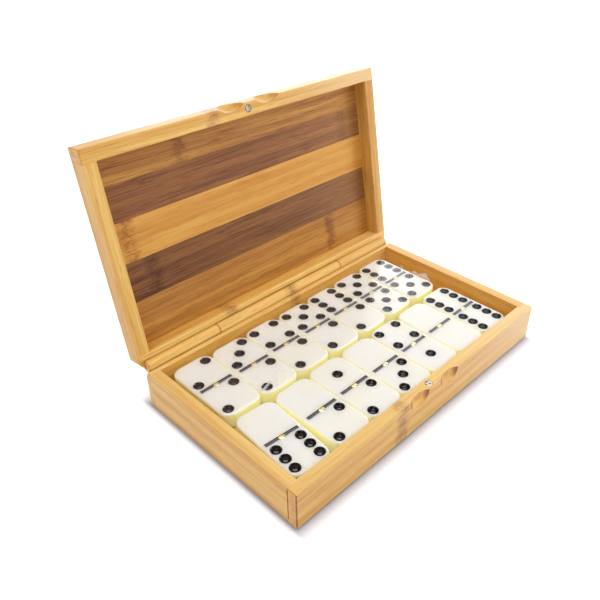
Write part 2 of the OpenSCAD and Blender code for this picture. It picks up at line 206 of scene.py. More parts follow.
# Each lamp: name, place, width, height, power in watts
LAMPS = (("lamp_over_left", (-0.75, -0.15, 1.15), 0.60, 0.60, 4.8),
         ("lamp_high", (0.05, -0.25, 1.45), 0.55, 0.55, 1.2),
         ("lamp_right", (0.55, -0.35, 0.45), 0.30, 0.30, 2.2),
         ("lamp_back_low", (1.19, 1.00, 0.39), 1.50, 0.56, 8.0),
         ("lamp_back_high", (1.11, 0.85, 0.78), 0.24, 0.28, 0.67))
for lamp_name, place, width, height, watts in LAMPS:
    lamp = put_in_scene(lamp_name, bpy.data.lights.new(lamp_name, "AREA"))
    lamp.data.shape = "RECTANGLE"
    lamp.data.size = width
    lamp.data.size_y = height
    lamp.data.energy = watts
    lamp.location = place
    lamp.rotation_mode = "QUATERNION"
    lamp.rotation_quaternion = Vector(place).to_track_quat("Z", "Y")

# ---- Base: four walls and a floor board of bamboo ---------------------------------
# The long walls run through and the side walls butt between them. Each is planed
# bamboo glued up from two plies, eased at the edges and finished with satin lacquer.
MM = 1000.0
HINGE_Y, HINGE_Z = 61.25, 25.15
LID_ANGLE = math.radians(99.5)


def board_place(tree, in_lid):
    """Place in the closed box, in millimetres, and the face's direction there."""
    here = add(tree, "TexCoord").outputs
    turn = (LID_ANGLE, 0, 0) if in_lid else (0, 0, 0)
    hinge = Vector((0, HINGE_Y, HINGE_Z))
    back = hinge - Matrix.Rotation(turn[0], 3, "X") @ hinge
    place = add(tree, "Mapping", {"Vector": here["Object"], "Location": back,
                                  "Rotation": turn, "Scale": (MM, MM, MM)})
    facing = add(tree, "Mapping", {"Vector": here["Normal"], "Rotation": turn},
                 vector_type="NORMAL")
    return place.outputs[0], facing.outputs[0]


def mottle(tree, place, scale, detail=2.0, roughness=0.5, distortion=0.0):
    """Soft uneven patches, around 0.5."""
    return add(tree, "TexNoise", {"Vector": place, "Scale": scale, "Detail": detail,
                                  "Roughness": roughness, "Distortion": distortion}
               ).outputs["Fac"]


def off_from(tree, value, middle):
    return reckon(tree, "ABSOLUTE", reckon(tree, "SUBTRACT", value, middle))


def stained(tree, amount, tone, stain):
    return blend_tone(tree, amount, tone, stain, "MULTIPLY")


# Marks in the cane, drawn out along the grain: length and width in millimetres, how much
# detail, and what each adds to the board's seed
BANDS, CONTOURS = (170, 5, 3.0, 0.0), (85, 1.9, 1.0, 7.3)
FIBRES, PORES = (30, 0.45, 4.0, 9.9), (13, 0.5, 1.0, 3.1)
WAVES, FLECKS, CLOUDS = (5.0, 3.2, 2.0, 5.7), (2.6, 1.1, 2.0, 1.9), (9.0, 6.0, 1.0, 4.4)


def marks(tree, board, kind, seed):
    along, across, up = board
    length, width, detail, own_seed = kind
    drawn_out = add(tree, "CombineXYZ", {
        "X": reckon(tree, "DIVIDE", along, length), "Y": reckon(tree, "DIVIDE", across, width),
        "Z": reckon(tree, "MULTIPLY_ADD", up, 1.0 / width, seed + own_seed)})
    return mottle(tree, drawn_out.outputs[0], 1.0, detail, roughness=0.6)


# Where in the marks each line lies, how wide, and how strong it is in tone and relief
BAND_RANGE = (0.33, 0.67)
DARK_LINE_AT, DARK_LINE_WIDE, DARK_LINE_TONE, DARK_LINE_RELIEF = 0.5, 0.022, 0.8, 0.35
PALE_LINE_AT, PALE_LINE_WIDE, PALE_LINE_TONE = 0.56, 0.03, 0.3
FIBRE_RANGE, FIBRE_TONE, FIBRE_RELIEF = (0.28, 0.66), 0.85, 0.6
PORE_RANGE, PORE_TONE, PORE_RELIEF = (0.62, 0.70), 0.9, 0.4


def grain_of(tree, board, pale, deep, lines, seed):
    """Tone, relief and fibres of the cane: bands, long crisp lines, fibres and pores."""
    bands, contours, fibres, pores = [marks(tree, board, kind, seed)
                                      for kind in (BANDS, CONTOURS, FIBRES, PORES)]
    dark_line = fade(tree, off_from(tree, contours, DARK_LINE_AT), 0.0, DARK_LINE_WIDE, 1.0, 0.0)
    pale_line = fade(tree, off_from(tree, contours, PALE_LINE_AT), 0.0, PALE_LINE_WIDE, 1.0, 0.0)

    tone = blend_tone(tree, fade(tree, bands, *BAND_RANGE), pale, deep)
    tone = stained(tree, reckon(tree, "MULTIPLY", dark_line, DARK_LINE_TONE * lines), tone, deep)
    tone = blend_tone(tree, reckon(tree, "MULTIPLY", pale_line, PALE_LINE_TONE * lines),
                      tone, pale, "SCREEN")
    tone = stained(tree, fade(tree, fibres, *FIBRE_RANGE, FIBRE_TONE * lines, 0.0), tone, deep)
    tone = stained(tree, fade(tree, pores, *PORE_RANGE, 0.0, PORE_TONE * lines), tone, deep)

    relief = reckon(tree, "MULTIPLY", fibres, FIBRE_RELIEF)
    for dent in (reckon(tree, "MULTIPLY", dark_line, DARK_LINE_RELIEF),
                 fade(tree, pores, *PORE_RANGE, 0.0, PORE_RELIEF)):
        relief = reckon(tree, "SUBTRACT", relief, dent)
    return tone, relief, fibres


JOINT_STAIN, JOINT_WAVE, JOINT_REACH = tint(176, 138, 124), 9.0, (0.5, 6.5)
JOINT_TONE, FLECK_TONE = 0.55, 0.45
FLECK_RANGE, CLOUD_RANGE, LEAST_CLOUD = (0.44, 0.58), (0.35, 0.65), 0.3


def cane_joint(tree, board, joint, seed, tone, relief):
    """A joint of the cane: a band of wavy dark flecks, some of it stained."""
    waves, flecks, clouds = [marks(tree, board, kind, seed) for kind in (WAVES, FLECKS, CLOUDS)]
    wobble = reckon(tree, "MULTIPLY_ADD", waves, JOINT_WAVE, -joint - JOINT_WAVE / 2)
    gap = reckon(tree, "ABSOLUTE", reckon(tree, "ADD", board[0], wobble))
    near = fade(tree, gap, *JOINT_REACH, 1.0, 0.0)
    dots = reckon(tree, "MULTIPLY", near, fade(tree, flecks, *FLECK_RANGE))
    stain = reckon(tree, "MULTIPLY", near, fade(tree, clouds, *CLOUD_RANGE, LEAST_CLOUD, 1.0))
    tone = stained(tree, reckon(tree, "MULTIPLY", stain, JOINT_TONE), tone, JOINT_STAIN)
    tone = stained(tree, reckon(tree, "MULTIPLY", dots, FLECK_TONE), tone, JOINT_STAIN)
    return tone, reckon(tree, "SUBTRACT", relief, dots)


PLY_EDGE, PLY_TONE, GLUE_WIDE, GLUE_TONE = (-0.1, 0.1), 0.16, (0.05, 0.3), 0.4


def glue_line(tree, off, tone, deep):
    """Two plies of slightly different tone with a thin line of glue between them; off is
    how far past the line a place lies."""
    tone = stained(tree, fade(tree, off, *PLY_EDGE, PLY_TONE, 0.0), tone, deep)
    line = fade(tree, reckon(tree, "ABSOLUTE", off), *GLUE_WIDE, GLUE_TONE, 0.0)
    return stained(tree, line, tone, deep)


RIM_PALE, RIM_TONE = 0.3, tint(247, 216, 150)
RIM_Z, RIM_LEVEL, RIM_DEPTH = 25.0, (0.8, 0.98), (0.2, 0.6)


def paler_rim_top(tree, up, face_up, tone):
    """The flat of the rim, facing up at rim height, is coloured paler than the faces."""
    rim = reckon(tree, "MULTIPLY", fade(tree, face_up, *RIM_LEVEL),
                 fade(tree, off_from(tree, up, RIM_Z), *RIM_DEPTH, 1.0, 0.0))
    return blend_tone(tree, reckon(tree, "MULTIPLY", rim, RIM_PALE), tone, RIM_TONE)


# How much darker slanting and straight cut ends go; the extra on slanting cuts is painted shade.
SLANT_SOAK_AND_SHADE, STRAIGHT_SOAK = 0.5, 0.22
SLANTING, STRAIGHT = (0.2, 0.5), (0.85, 0.98)


def soaked_and_shaded_ends(tree, face_along, tone, deep):
    """Cut ends of the canes soak up more lacquer and go darker. Slanting cuts, as in the
    dished scoops of the front walls, are darkened most, and that extra is painted shade.
    """
    end = reckon(tree, "ABSOLUTE", face_along)
    soaked = reckon(tree, "SUBTRACT", fade(tree, end, *SLANTING, 0.0, SLANT_SOAK_AND_SHADE),
                    fade(tree, end, *STRAIGHT, 0.0, SLANT_SOAK_AND_SHADE - STRAIGHT_SOAK))
    return stained(tree, soaked, tone, deep)


EDGE_DARK_TONE, EDGE_ROUND = tint(150, 104, 62), (0.25, 0.45)


def darker_edge_roundings(tree, face, amount, tone):
    """The rounding of the upright edges is coloured darker."""
    rounding = reckon(tree, "ABSOLUTE", reckon(tree, "MULTIPLY", face["X"], face["Y"]))
    return stained(tree, fade(tree, rounding, *EDGE_ROUND, 0.0, amount), tone, EDGE_DARK_TONE)


# Lacquer: roughness over the hollows and over the ridges of the fibres, and the relief
LACQUER_HOLLOW, LACQUER_RIDGE, LACQUER_RELIEF, RELIEF_DEPTH = 0.46, 0.36, 0.18, 0.0002


def bamboo(name, pale, deep, grain="X", in_lid=False, joints=(), plies=(), lines=0.5,
           seed=0.0, painted_light=None, sheen=0.5, edge_darkening=0.0):
    """Lacquered bamboo. joints are places along the grain where the cane had a joint,
    plies are (axis, place) of glue lines, lines is how strong the fine grain is,
    painted_light is (from, to, how much, tone) of painted light that pales the wood
    along the grain, sheen is how much of the lacquer's gloss is left and edge_darkening
    is how much darker the roundings of its upright edges are. Lengths are in millimetres
    of the closed box."""
    finish, tree = new_finish(name)
    place, facing = board_place(tree, in_lid)
    at, face = axes(tree, place), axes(tree, facing)
    along, across = (at["X"], at["Y"]) if grain == "X" else (at["Y"], at["X"])
    board = (along, across, at["Z"])

    tone, relief, fibres = grain_of(tree, board, pale, deep, lines, seed)
    for joint in joints:
        tone, relief = cane_joint(tree, board, joint, seed, tone, relief)
    for axis, ply in plies:
        tone = glue_line(tree, reckon(tree, "SUBTRACT", at[axis], ply), tone, deep)
    # Painted light: the wood is coloured paler towards one end, standing in for light that falls
    # more strongly there.
    if painted_light:
        start, stop, amount, painted_light_tone = painted_light
        tone = blend_tone(tree, fade(tree, along, start, stop, 0.0, amount), tone, painted_light_tone)
    if not in_lid:
        # The upward faces at the rim are coloured paler.
        tone = paler_rim_top(tree, at["Z"], face["Z"], tone)
    tone = soaked_and_shaded_ends(tree, face[grain], tone, deep)
    # The roundings of the upright edges are coloured darker.
    if edge_darkening:
        tone = darker_edge_roundings(tree, face, edge_darkening, tone)

    bump = add(tree, "Bump", {"Height": relief, "Strength": LACQUER_RELIEF,
                              "Distance": RELIEF_DEPTH})
    gloss = fade(tree, fibres, 0.2, 0.8, LACQUER_HOLLOW, LACQUER_RIDGE)
    cover(tree, add(tree, "BsdfPrincipled", {
        "Base Color": tone, "Roughness": gloss, "Normal": bump.outputs[0],
        "Specular IOR Level": sheen}))
    return finish


def finish_with(finish, *names):
    """Put a finish on these pieces of the construction."""
    for name in names:
        if not nodes[name].data.materials:
            nodes[name].data.materials.append(finish)
        for slot in nodes[name].material_slots:
            slot.material = finish


# The third tone is painted light: the pale wash laid on towards the right ends.
HONEY, HONEY_DEEP, WOOD_PAINTED_LIGHT = tint(242, 205, 119), tint(225, 173, 82), tint(250, 228, 184)
PLY_IN = 2.4
FRONT_Y, SIDE_X = -61.25, 103.5
CORNER_LINE_Y = 54.15

# The front and back walls are paled towards their right ends with painted light.
finish_with(bamboo("front_wall_bamboo", HONEY, HONEY_DEEP, joints=(-27.0,),
                   plies=(("Y", FRONT_Y + PLY_IN),), seed=0.4,
                   painted_light=(-10.0, 103.0, 0.42, WOOD_PAINTED_LIGHT), edge_darkening=0.8), "base_front_wall")
finish_with(bamboo("back_wall_bamboo", HONEY, HONEY_DEEP, joints=(6.0,), seed=2.6,
                   painted_light=(30.0, 100.0, 0.1, WOOD_PAINTED_LIGHT)), "base_back_wall")
finish_with(bamboo("left_wall_bamboo", HONEY, HONEY_DEEP, grain="Y",
                   plies=(("X", -SIDE_X + PLY_IN),), seed=4.1), "base_left_wall")
finish_with(bamboo("right_wall_bamboo", HONEY, HONEY_DEEP, grain="Y",
                   plies=(("X", SIDE_X - PLY_IN), ("Y", CORNER_LINE_Y)), seed=5.9),
            "base_right_wall")
finish_with(bamboo("floor_bamboo", HONEY, HONEY_DEEP, joints=(40.0,), seed=8.2), "base_floor")

# ---- Hinge pins and magnets -------------------------------------------------------
# Nickel-plated steel: a wire pin driven into each end of the hinge, and one small
# round magnet let into each front rim, worn dull, with a dark ring round its edge. The lid's
# magnet is coloured dark olive, a painted reflection of the wood and dominoes it faces.
SCRATCHES, PIN_BRIGHT, PIN_SCRATCHED = 1800.0, 0.18, 0.36
pin_plate, pin_tree = new_finish("nickel_plate")
pin_scratch = mottle(pin_tree, add(pin_tree, "TexCoord").outputs["Object"], SCRATCHES, 3.0)
cover(pin_tree, add(pin_tree, "BsdfPrincipled", {
    "Base Color": tint(205, 205, 208), "Metallic": 1.0,
    "Roughness": fade(pin_tree, pin_scratch, 0.3, 0.7, PIN_BRIGHT, PIN_SCRATCHED)}))
finish_with(pin_plate, "hinge_pin_left", "hinge_pin_right")

MAGNET_X, MAGNET_Y = -1.8, -58.25
MAGNET_EDGE_FROM, MAGNET_EDGE_FULL = 1.8, 2.1
MAGNET_WEAR, MAGNET_BRIGHT, MAGNET_DULL = 0.9, 0.22, 0.45


def magnet_finish(name, in_lid, dull, bright, edge):
    finish, tree = new_finish(name)
    place, _ = board_place(tree, in_lid)
    off = add(tree, "VectorMath", {0: place, 1: (MAGNET_X, MAGNET_Y, 0)}, operation="SUBTRACT")
    flat = add(tree, "VectorMath", {0: off.outputs[0], 1: (1, 1, 0)}, operation="MULTIPLY")
    reach = length_of(tree, flat.outputs[0])
    worn = mottle(tree, place, MAGNET_WEAR)
    metal = blend_tone(tree, fade(tree, worn, 0.35, 0.6), dull, bright)
    metal = blend_tone(tree, fade(tree, reach, MAGNET_EDGE_FROM, MAGNET_EDGE_FULL), metal, edge)
    cover(tree, add(tree, "BsdfPrincipled", {
        "Base Color": metal, "Metallic": 0.9,
        "Roughness": fade(tree, worn, 0.3, 0.7, MAGNET_BRIGHT, MAGNET_DULL)}))
    return finish


finish_with(magnet_finish("base_magnet_nickel", False, tint(214, 200, 198),
                          tint(246, 240, 238), tint(120, 104, 88)), "base_magnet")
# Painted reflection: the same nickel, coloured dark olive for the wood and dominoes it reflects.
finish_with(magnet_finish("lid_magnet_painted_reflection", True, tint(120, 116, 100),
                          tint(176, 172, 154), tint(64, 54, 40)), "lid_magnet")

# ---- Lid: four walls of bamboo ----------------------------------------------------
# Made like the base and turned on the hinge, so its grain is laid out as in the
# closed box. The right wall comes from a darker cane.
LID_FRONT_Y, LID_SIDE_X, LID_PLY_IN = -61.85, 104.25, 3.9
# The front and back walls are paled towards their right ends with painted light.
finish_with(bamboo("lid_front_bamboo", HONEY, HONEY_DEEP, in_lid=True, joints=(-26.0,),
                   plies=(("Y", LID_FRONT_Y + LID_PLY_IN),), seed=11.2,
                   painted_light=(0.0, 104.0, 0.45, WOOD_PAINTED_LIGHT)), "lid_front_wall")
finish_with(bamboo("lid_back_bamboo", HONEY, HONEY_DEEP, in_lid=True, joints=(-39.0,),
                   seed=12.7, painted_light=(20.0, 100.0, 0.1, WOOD_PAINTED_LIGHT)), "lid_back_wall")
finish_with(bamboo("lid_left_bamboo", HONEY, HONEY_DEEP, grain="Y", in_lid=True,
                   plies=(("X", -LID_SIDE_X + PLY_IN),), seed=14.5), "lid_left_wall")
finish_with(bamboo("lid_right_bamboo", tint(230, 190, 108), tint(208, 155, 72), grain="Y",
                   in_lid=True, plies=(("X", LID_SIDE_X - PLY_IN),), seed=16.1),
            "lid_right_wall")

# ---- Lid panel: five strips -------------------------------------------------------
# Thin bamboo strips glued edge to edge. The dark ones are carbonised: steamed until
# the sugar in the cane turns brown.
# Each strip: its pale and deep tone, joint of the cane, strength of the grain, seed, and
# how much painted light pales it towards its right end, standing in for light from the right
STRIPS = (("lid_strip_1", tint(209, 155, 80), tint(171, 114, 53), -46.0, 0.6, 21.0, 0.0),
          ("lid_strip_2", tint(168, 112, 62), tint(134, 83, 46), 80.0, 0.65, 23.5, 0.16),
          ("lid_strip_3", tint(226, 173, 85), tint(213, 152, 67), -87.0, 0.4, 26.3, 0.0),
          ("lid_strip_4", tint(151, 100, 52), tint(118, 71, 38), -77.0, 0.65, 29.4, 0.12),
          ("lid_strip_5", tint(206, 151, 69), tint(178, 120, 52), 59.0, 0.5, 35.1, 0.0))
# Tone of the strips' painted light towards the right, and how much gloss they keep
STRIP_PAINTED_LIGHT, STRIP_SHEEN = tint(240, 178, 104), 0.3
for strip, pale, deep, joint, lines, seed, paler in STRIPS:
    finish_with(bamboo(strip + "_bamboo", pale, deep, in_lid=True, joints=(joint,),
                       lines=lines, seed=seed, painted_light=(0.0, 100.0, paler, STRIP_PAINTED_LIGHT),
                       sheen=STRIP_SHEEN), strip)

# ---- Dominoes: ivory resin --------------------------------------------------------
# Cast ivory-coloured resin, polished. The narrow sides are coloured yellower and glow
# faintly: painted light that stands in for light coming in through the wide faces and
# bouncing between the tiles. The glow is left off the sides that stand in the left wall's
# shadow.
PAINTED_SIDE_GLOW, PAINTED_GLOW_TONE = 0.11, tint(238, 249, 188)
SHADED_FROM_X, SHADED_TO_X = -0.0945, -0.0895
RESIN_IVORY, RESIN_CREAM = tint(254, 250, 240), tint(252, 247, 233)
RESIN_SIDE_PAINTED_BOUNCE, RESIN_CLOUDS, RESIN_GLOSS = tint(255, 241, 186), 60.0, 0.28
MILKINESS, MILKY_DEPTH, MILKY_TONE = 0.8, 0.006, (1.0, 0.95, 0.75)

resin, resin_tree = new_finish("ivory_resin_painted_glow")
resin_here = add(resin_tree, "TexCoord").outputs
resin_flat = reckon(resin_tree, "ABSOLUTE", axes(resin_tree, resin_here["Normal"])["Z"])
resin_flat = fade(resin_tree, resin_flat, 0.2, 0.95)
resin_cloud = mottle(resin_tree, resin_here["Object"], RESIN_CLOUDS)
resin_face = blend_tone(resin_tree, fade(resin_tree, resin_cloud, 0.35, 0.65), RESIN_IVORY,
                        RESIN_CREAM)
# Painted bounce light: the narrow sides are coloured yellower than the faces.
resin_tone = blend_tone(resin_tree, resin_flat, RESIN_SIDE_PAINTED_BOUNCE, resin_face)
# Painted glow on the narrow sides, left off next to the left wall.
resin_glow_reach = fade(resin_tree, axes(resin_tree, resin_here["Object"])["X"], SHADED_FROM_X,
                 SHADED_TO_X, 0.0, PAINTED_SIDE_GLOW)
resin_painted_glow = reckon(resin_tree, "MULTIPLY", resin_glow_reach,
                       fade(resin_tree, resin_flat, 0.0, 0.6, 1.0, 0.0))
cover(resin_tree, add(resin_tree, "BsdfPrincipled", {
    "Base Color": resin_tone, "Roughness": RESIN_GLOSS, "Emission Color": PAINTED_GLOW_TONE,
    "Emission Strength": resin_painted_glow, "Subsurface Weight": MILKINESS,
    "Subsurface Radius": MILKY_TONE, "Subsurface Scale": MILKY_DEPTH}))
finish_with(resin, *[name for name in nodes if name.startswith("tile_")],
            "wrapped_lower_tiles")

# ---- Dominoes: black enamel -------------------------------------------------------
# Each pip is a drilled cup and each bar a milled channel, flooded with black enamel
# that has dried hollow, with a ring in each cup. A name gives the back and front pips.
FRONT_UPPER = ("0_6", "0_2", "1_2", "0_3", "4_1", "0_0", "6_6")
FRONT_LOWER = ("0_1", "0_4", "0_5", "1_1", "1_3", "1_5", "1_6")
BACK_UPPER = ("2_2", "3_2", "4_2", "5_2", "6_2", "5_5", "6_5")
BACK_LOWER = ("3_3", "3_4", "3_5", "3_6", "4_4", "4_5", "4_6")
TURN_OF_FIRST = math.radians(-4.5)
TILE_L, TILE_T = 0.0508, 0.0095
PIP_ACROSS, PIP_ALONG, PIP_R = 0.0077, 0.0073, 0.0029
BAR_L, BAR_W = 0.0205, 0.0020
ENAMEL_BROWN, ENAMEL_BLACK, BAR_PAINTED_REFLECTION = tint(20, 14, 15), tint(11, 8, 11), tint(84, 78, 79)
ENAMEL_IOR, ENAMEL_GLOSS, BAR_GLOSS = 1.65, 0.08, 0.45
BAR_BAND, BAR_LEVEL, ENAMEL_WAVES = (0.0018, 0.0021), (0.90, 0.98), 900.0


def enamel_finish(name, bars_y):
    """Glossy black enamel. Along the bars, which lie in line at bars_y, it is rougher and
    coloured grey: a painted reflection of the bright surround.
    """
    finish, tree = new_finish(name)
    here = add(tree, "TexCoord").outputs
    aside = off_from(tree, axes(tree, here["Object"])["Y"], bars_y)
    satin_and_painted_reflection = reckon(tree, "MULTIPLY", fade(tree, aside, *BAR_BAND, 1.0, 0.0),
                   fade(tree, axes(tree, here["Normal"])["Z"], *BAR_LEVEL))
    waves = mottle(tree, here["Object"], ENAMEL_WAVES)
    tone = blend_tone(tree, waves, ENAMEL_BROWN, ENAMEL_BLACK)
    # Painted reflection: the flat floor of each bar is coloured grey.
    tone = blend_tone(tree, satin_and_painted_reflection, tone, BAR_PAINTED_REFLECTION)
    cover(tree, add(tree, "BsdfPrincipled", {
        "Base Color": tone, "IOR": ENAMEL_IOR,
        "Roughness": fade(tree, satin_and_painted_reflection, 0.0, 1.0, ENAMEL_GLOSS, BAR_GLOSS)}))
    return finish


# Enamel surface in a cup, from the floor of its pit to the thin line of it round the cup's
# edge, as shares of the cup's radius and heights in metres
CUP = ((0.0, -0.00058), (0.12, -0.00058), (0.16, -0.00040), (0.22, -0.000405),
       (0.30, -0.00043), (0.38, -0.00047), (0.44, -0.000515), (0.50, -0.00058),
       (0.57, -0.00067), (0.60, -0.00068), (0.64, -0.00031), (0.76, -0.00029),
       (0.88, -0.00031), (1.0, 0.00002), (1.06, 0.00002))
CUP_SIDES, SHARP_TURN = 48, math.radians(12)
CUP_ROUND = [2 * math.pi * i / CUP_SIDES for i in range(CUP_SIDES)]


def skin(mesh, near, far, closed=False):
    """Faces between two rows of points."""
    for i in range(len(near) - (0 if closed else 1)):
        k = (i + 1) % len(near)
        mesh.faces.new((near[i], far[i], far[k], near[k]))


def add_cup(mesh, place):
    """Enamel in one pip's cup, turned round the cup's middle."""
    middle = mesh.verts.new(place @ Vector((0, 0, CUP[0][1])))
    rings = [[mesh.verts.new(place @ Vector((share * PIP_R * math.cos(turn),
                                             share * PIP_R * math.sin(turn), depth)))
              for turn in CUP_ROUND] for share, depth in CUP[1:]]
    for i in range(CUP_SIDES):
        mesh.faces.new((middle, rings[0][i], rings[0][(i + 1) % CUP_SIDES]))
    for low, high in zip(rings, rings[1:]):
        skin(mesh, low, high, closed=True)


# Section across the enamel in the bar's channel: place across, height. At its ends, places
# along and share of the depth.
CHANNEL = ((-1.0, 0.00002), (-0.93, -0.00016), (-0.78, -0.00030), (-0.4, -0.00036),
           (0.4, -0.00036), (0.78, -0.00030), (0.93, -0.00016), (1.0, 0.00002))
CHANNEL_RUN = ((-1.0, 0.0), (-0.985, 1.0), (0.985, 1.0), (1.0, 0.0))
BRIM = 0.00002


def add_bar(mesh, place):
    rows = [[mesh.verts.new(place @ Vector((end * BAR_L / 2, side * BAR_W / 2,
                                            depth * drop + BRIM * (1 - drop))))
             for side, depth in CHANNEL] for end, drop in CHANNEL_RUN]
    for near, far in zip(rows, rows[1:]):
        skin(mesh, near, far)


def pips(count):
    """Places of the pips on one half, as steps across and along from its middle."""
    found = [(0, 0)] if count % 2 else []
    if count >= 2:
        found += [(1, 1), (-1, -1)]
    if count >= 4:
        found += [(-1, 1), (1, -1)]
    if count == 6:
        found += [(-1, 0), (1, 0)]
    return found


def enamel_piece(name, marks, body, enamel):
    """The enamel of one or more dominoes, each given as its name and place."""
    mesh = bmesh.new()
    for faces, place in marks:
        add_bar(mesh, place)
        for half, count in ((1, int(faces[0])), (-1, int(faces[2]))):
            for across, along in pips(count):
                add_cup(mesh, place @ Matrix.Translation((
                    across * PIP_ACROSS, half * TILE_L / 4 + along * PIP_ALONG, 0)))
    bmesh.ops.recalc_face_normals(mesh, faces=mesh.faces)
    for face in mesh.faces:
        face.smooth = True
    for edge in mesh.edges:
        edge.smooth = edge.calc_face_angle(0.0) < SHARP_TURN
    piece = put_in_scene(name, bpy.data.meshes.new(name))
    mesh.to_mesh(piece.data)
    mesh.free()
    piece.data.materials.append(enamel)
    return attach(piece, body)


def tile_top(node, turn=0.0):
    low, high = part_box(node)
    middle = (low + high) / 2
    return Matrix.Translation((middle.x, middle.y, high.z)) @ Matrix.Rotation(turn, 4, "Z")


front_bars_y, wrapped_bars_y = [tile_top("tile_" + row[0]).translation.y
                                for row in (FRONT_UPPER, BACK_UPPER)]
front_enamel = enamel_finish("black_enamel", front_bars_y)
wrapped_enamel = enamel_finish("wrapped_black_enamel", wrapped_bars_y)
for row in (FRONT_UPPER, FRONT_LOWER):
    for column, faces in enumerate(row):
        turn = TURN_OF_FIRST if column == 0 else 0.0
        enamel_piece("enamel_" + faces, [(faces, tile_top("tile_" + faces, turn))],
                     "domino_" + faces, front_enamel)
wrapped_marks = [(faces, tile_top("tile_" + faces)) for faces in BACK_UPPER]
wrapped_marks += [(below, Matrix.Translation((0, 0, -TILE_T)) @ place)
                  for below, (_, place) in zip(BACK_LOWER, wrapped_marks)]
enamel_piece("enamel_wrapped", wrapped_marks, "wrapped_set", wrapped_enamel)

# ---- Dominoes: brass spinners -----------------------------------------------------
# A small pin with a domed brass head is driven into the middle of each domino. The
# domino is turned on it when it is shuffled.
BRASS_WEAR, BRASS_METAL, BRASS_GLOSS = 700.0, 0.75, 0.3
brass, brass_tree = new_finish("spinner_brass")
brass_wear = mottle(brass_tree, add(brass_tree, "TexCoord").outputs["Object"], BRASS_WEAR)
brass_tone = blend_tone(brass_tree, brass_wear, tint(255, 244, 206), tint(250, 232, 172))
cover(brass_tree, add(brass_tree, "BsdfPrincipled", {
    "Base Color": brass_tone, "Metallic": BRASS_METAL, "Roughness": BRASS_GLOSS}))
finish_with(brass, *[name for name in nodes if "spinner" in name])

# ---- Shrink film ------------------------------------------------------------------
# Clear film still shrunk tight round the dominoes of the back row. It hugs the tiles,
# bridges the notches between their corners, and is creased and torn at its seal.
TILE_W, TILE_CORNER, TILE_EDGE = 0.0254, 0.0063, 0.0012
FILM_OFF, FILM_HEM = 0.00012, 0.0008
BRIDGE, BRIDGE_CURVE = 0.16, 1.5
RISE_STEPS, ROUND_STEPS, TOP_STEPS = 8, 6, 90
film_low, film_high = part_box("shrink_film")
wrapped_boxes = [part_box("tile_" + faces) for faces in BACK_UPPER]
film_ends = (wrapped_boxes[0][0].x - FILM_OFF, wrapped_boxes[-1][1].x + FILM_OFF)
tile_tops_z = wrapped_boxes[0][1].z
tile_backs_z = film_low.z + 0.0001


def film_reach(x, side):
    """Where the film lies in y in front of (side 0) or behind (side 1) the tiles at x."""
    sign = 1 if side else -1
    reach = []
    for low, high in wrapped_boxes:
        off = max(abs(x - (low.x + high.x) / 2) - (TILE_W / 2 - TILE_CORNER), 0) / TILE_CORNER
        edge = (low.y, high.y)[side] + sign * FILM_OFF
        reach.append(edge - sign * TILE_CORNER * BRIDGE * min(off, 3.0) ** BRIDGE_CURVE)
    return max(reach) if side else min(reach)


# Folds that stand up from the film near the front edge: from and to, height, half width
FOLDS = (((-0.0665, 0.0035), (-0.0590, 0.0060), 0.00060, 0.0010),
         ((-0.0560, 0.0030), (-0.0520, 0.0095), 0.00035, 0.0008),
         ((-0.0510, 0.0020), (-0.0460, 0.0085), 0.00035, 0.0008),
         ((-0.0455, 0.0010), (-0.0400, 0.0070), 0.00030, 0.0008))


def fold_lift(x, y):
    here, lift = Vector((x, y)), 0.0
    for start, stop, height, half_width in FOLDS:
        run = Vector(stop) - Vector(start)
        share = max(0.0, min(1.0, (here - Vector(start)).dot(run) / run.length_squared))
        off = (here - Vector(start) - run * share).length
        lift += height * math.exp(-(off / half_width) ** 2)
    return lift


SAG, SAG_HALF, CREASE, PUCKER, PUCKER_REACH = 0.00022, 0.0007, 0.00005, 0.00006, 0.010
FILM_SLACK = 0.00003


def film_lift(x, y):
    """Height of the film over the faces: sagging over the joints, creased and puckered."""
    sag = sum(math.exp(-((x - low.x) / SAG_HALF) ** 2) for low, high in wrapped_boxes[1:])
    crease = (noise.noise(Vector((x * 180, y * 150, 0.3)))
              + 0.5 * noise.noise(Vector((x * 420, y * 390, 4.1))))
    pucker = (max(0.0, 1 - (y - film_reach(x, 0)) / PUCKER_REACH)
              * noise.noise(Vector((x * 900, y * 160, 2.2))))
    return (FILM_OFF - SAG * sag + CREASE * crease + PUCKER * pucker + FILM_SLACK
            + fold_lift(x, y))


def rounded_off(radius, inset):
    """How far a rounding of this radius falls back, this far in from its end."""
    return radius - math.sqrt(max(radius ** 2 - max(radius - inset, 0) ** 2, 0))


def over_edge(edge, inward, top, steps):
    """Film over the tiles' rounded upper edge, which lies at edge in y."""
    turns = [math.radians(90 * k / ROUND_STEPS) for k in steps]
    return [(edge + inward * TILE_EDGE * (1 - math.cos(turn)),
             top - TILE_EDGE * (1 - math.sin(turn)) + FILM_OFF * math.sin(turn))
            for turn in turns]


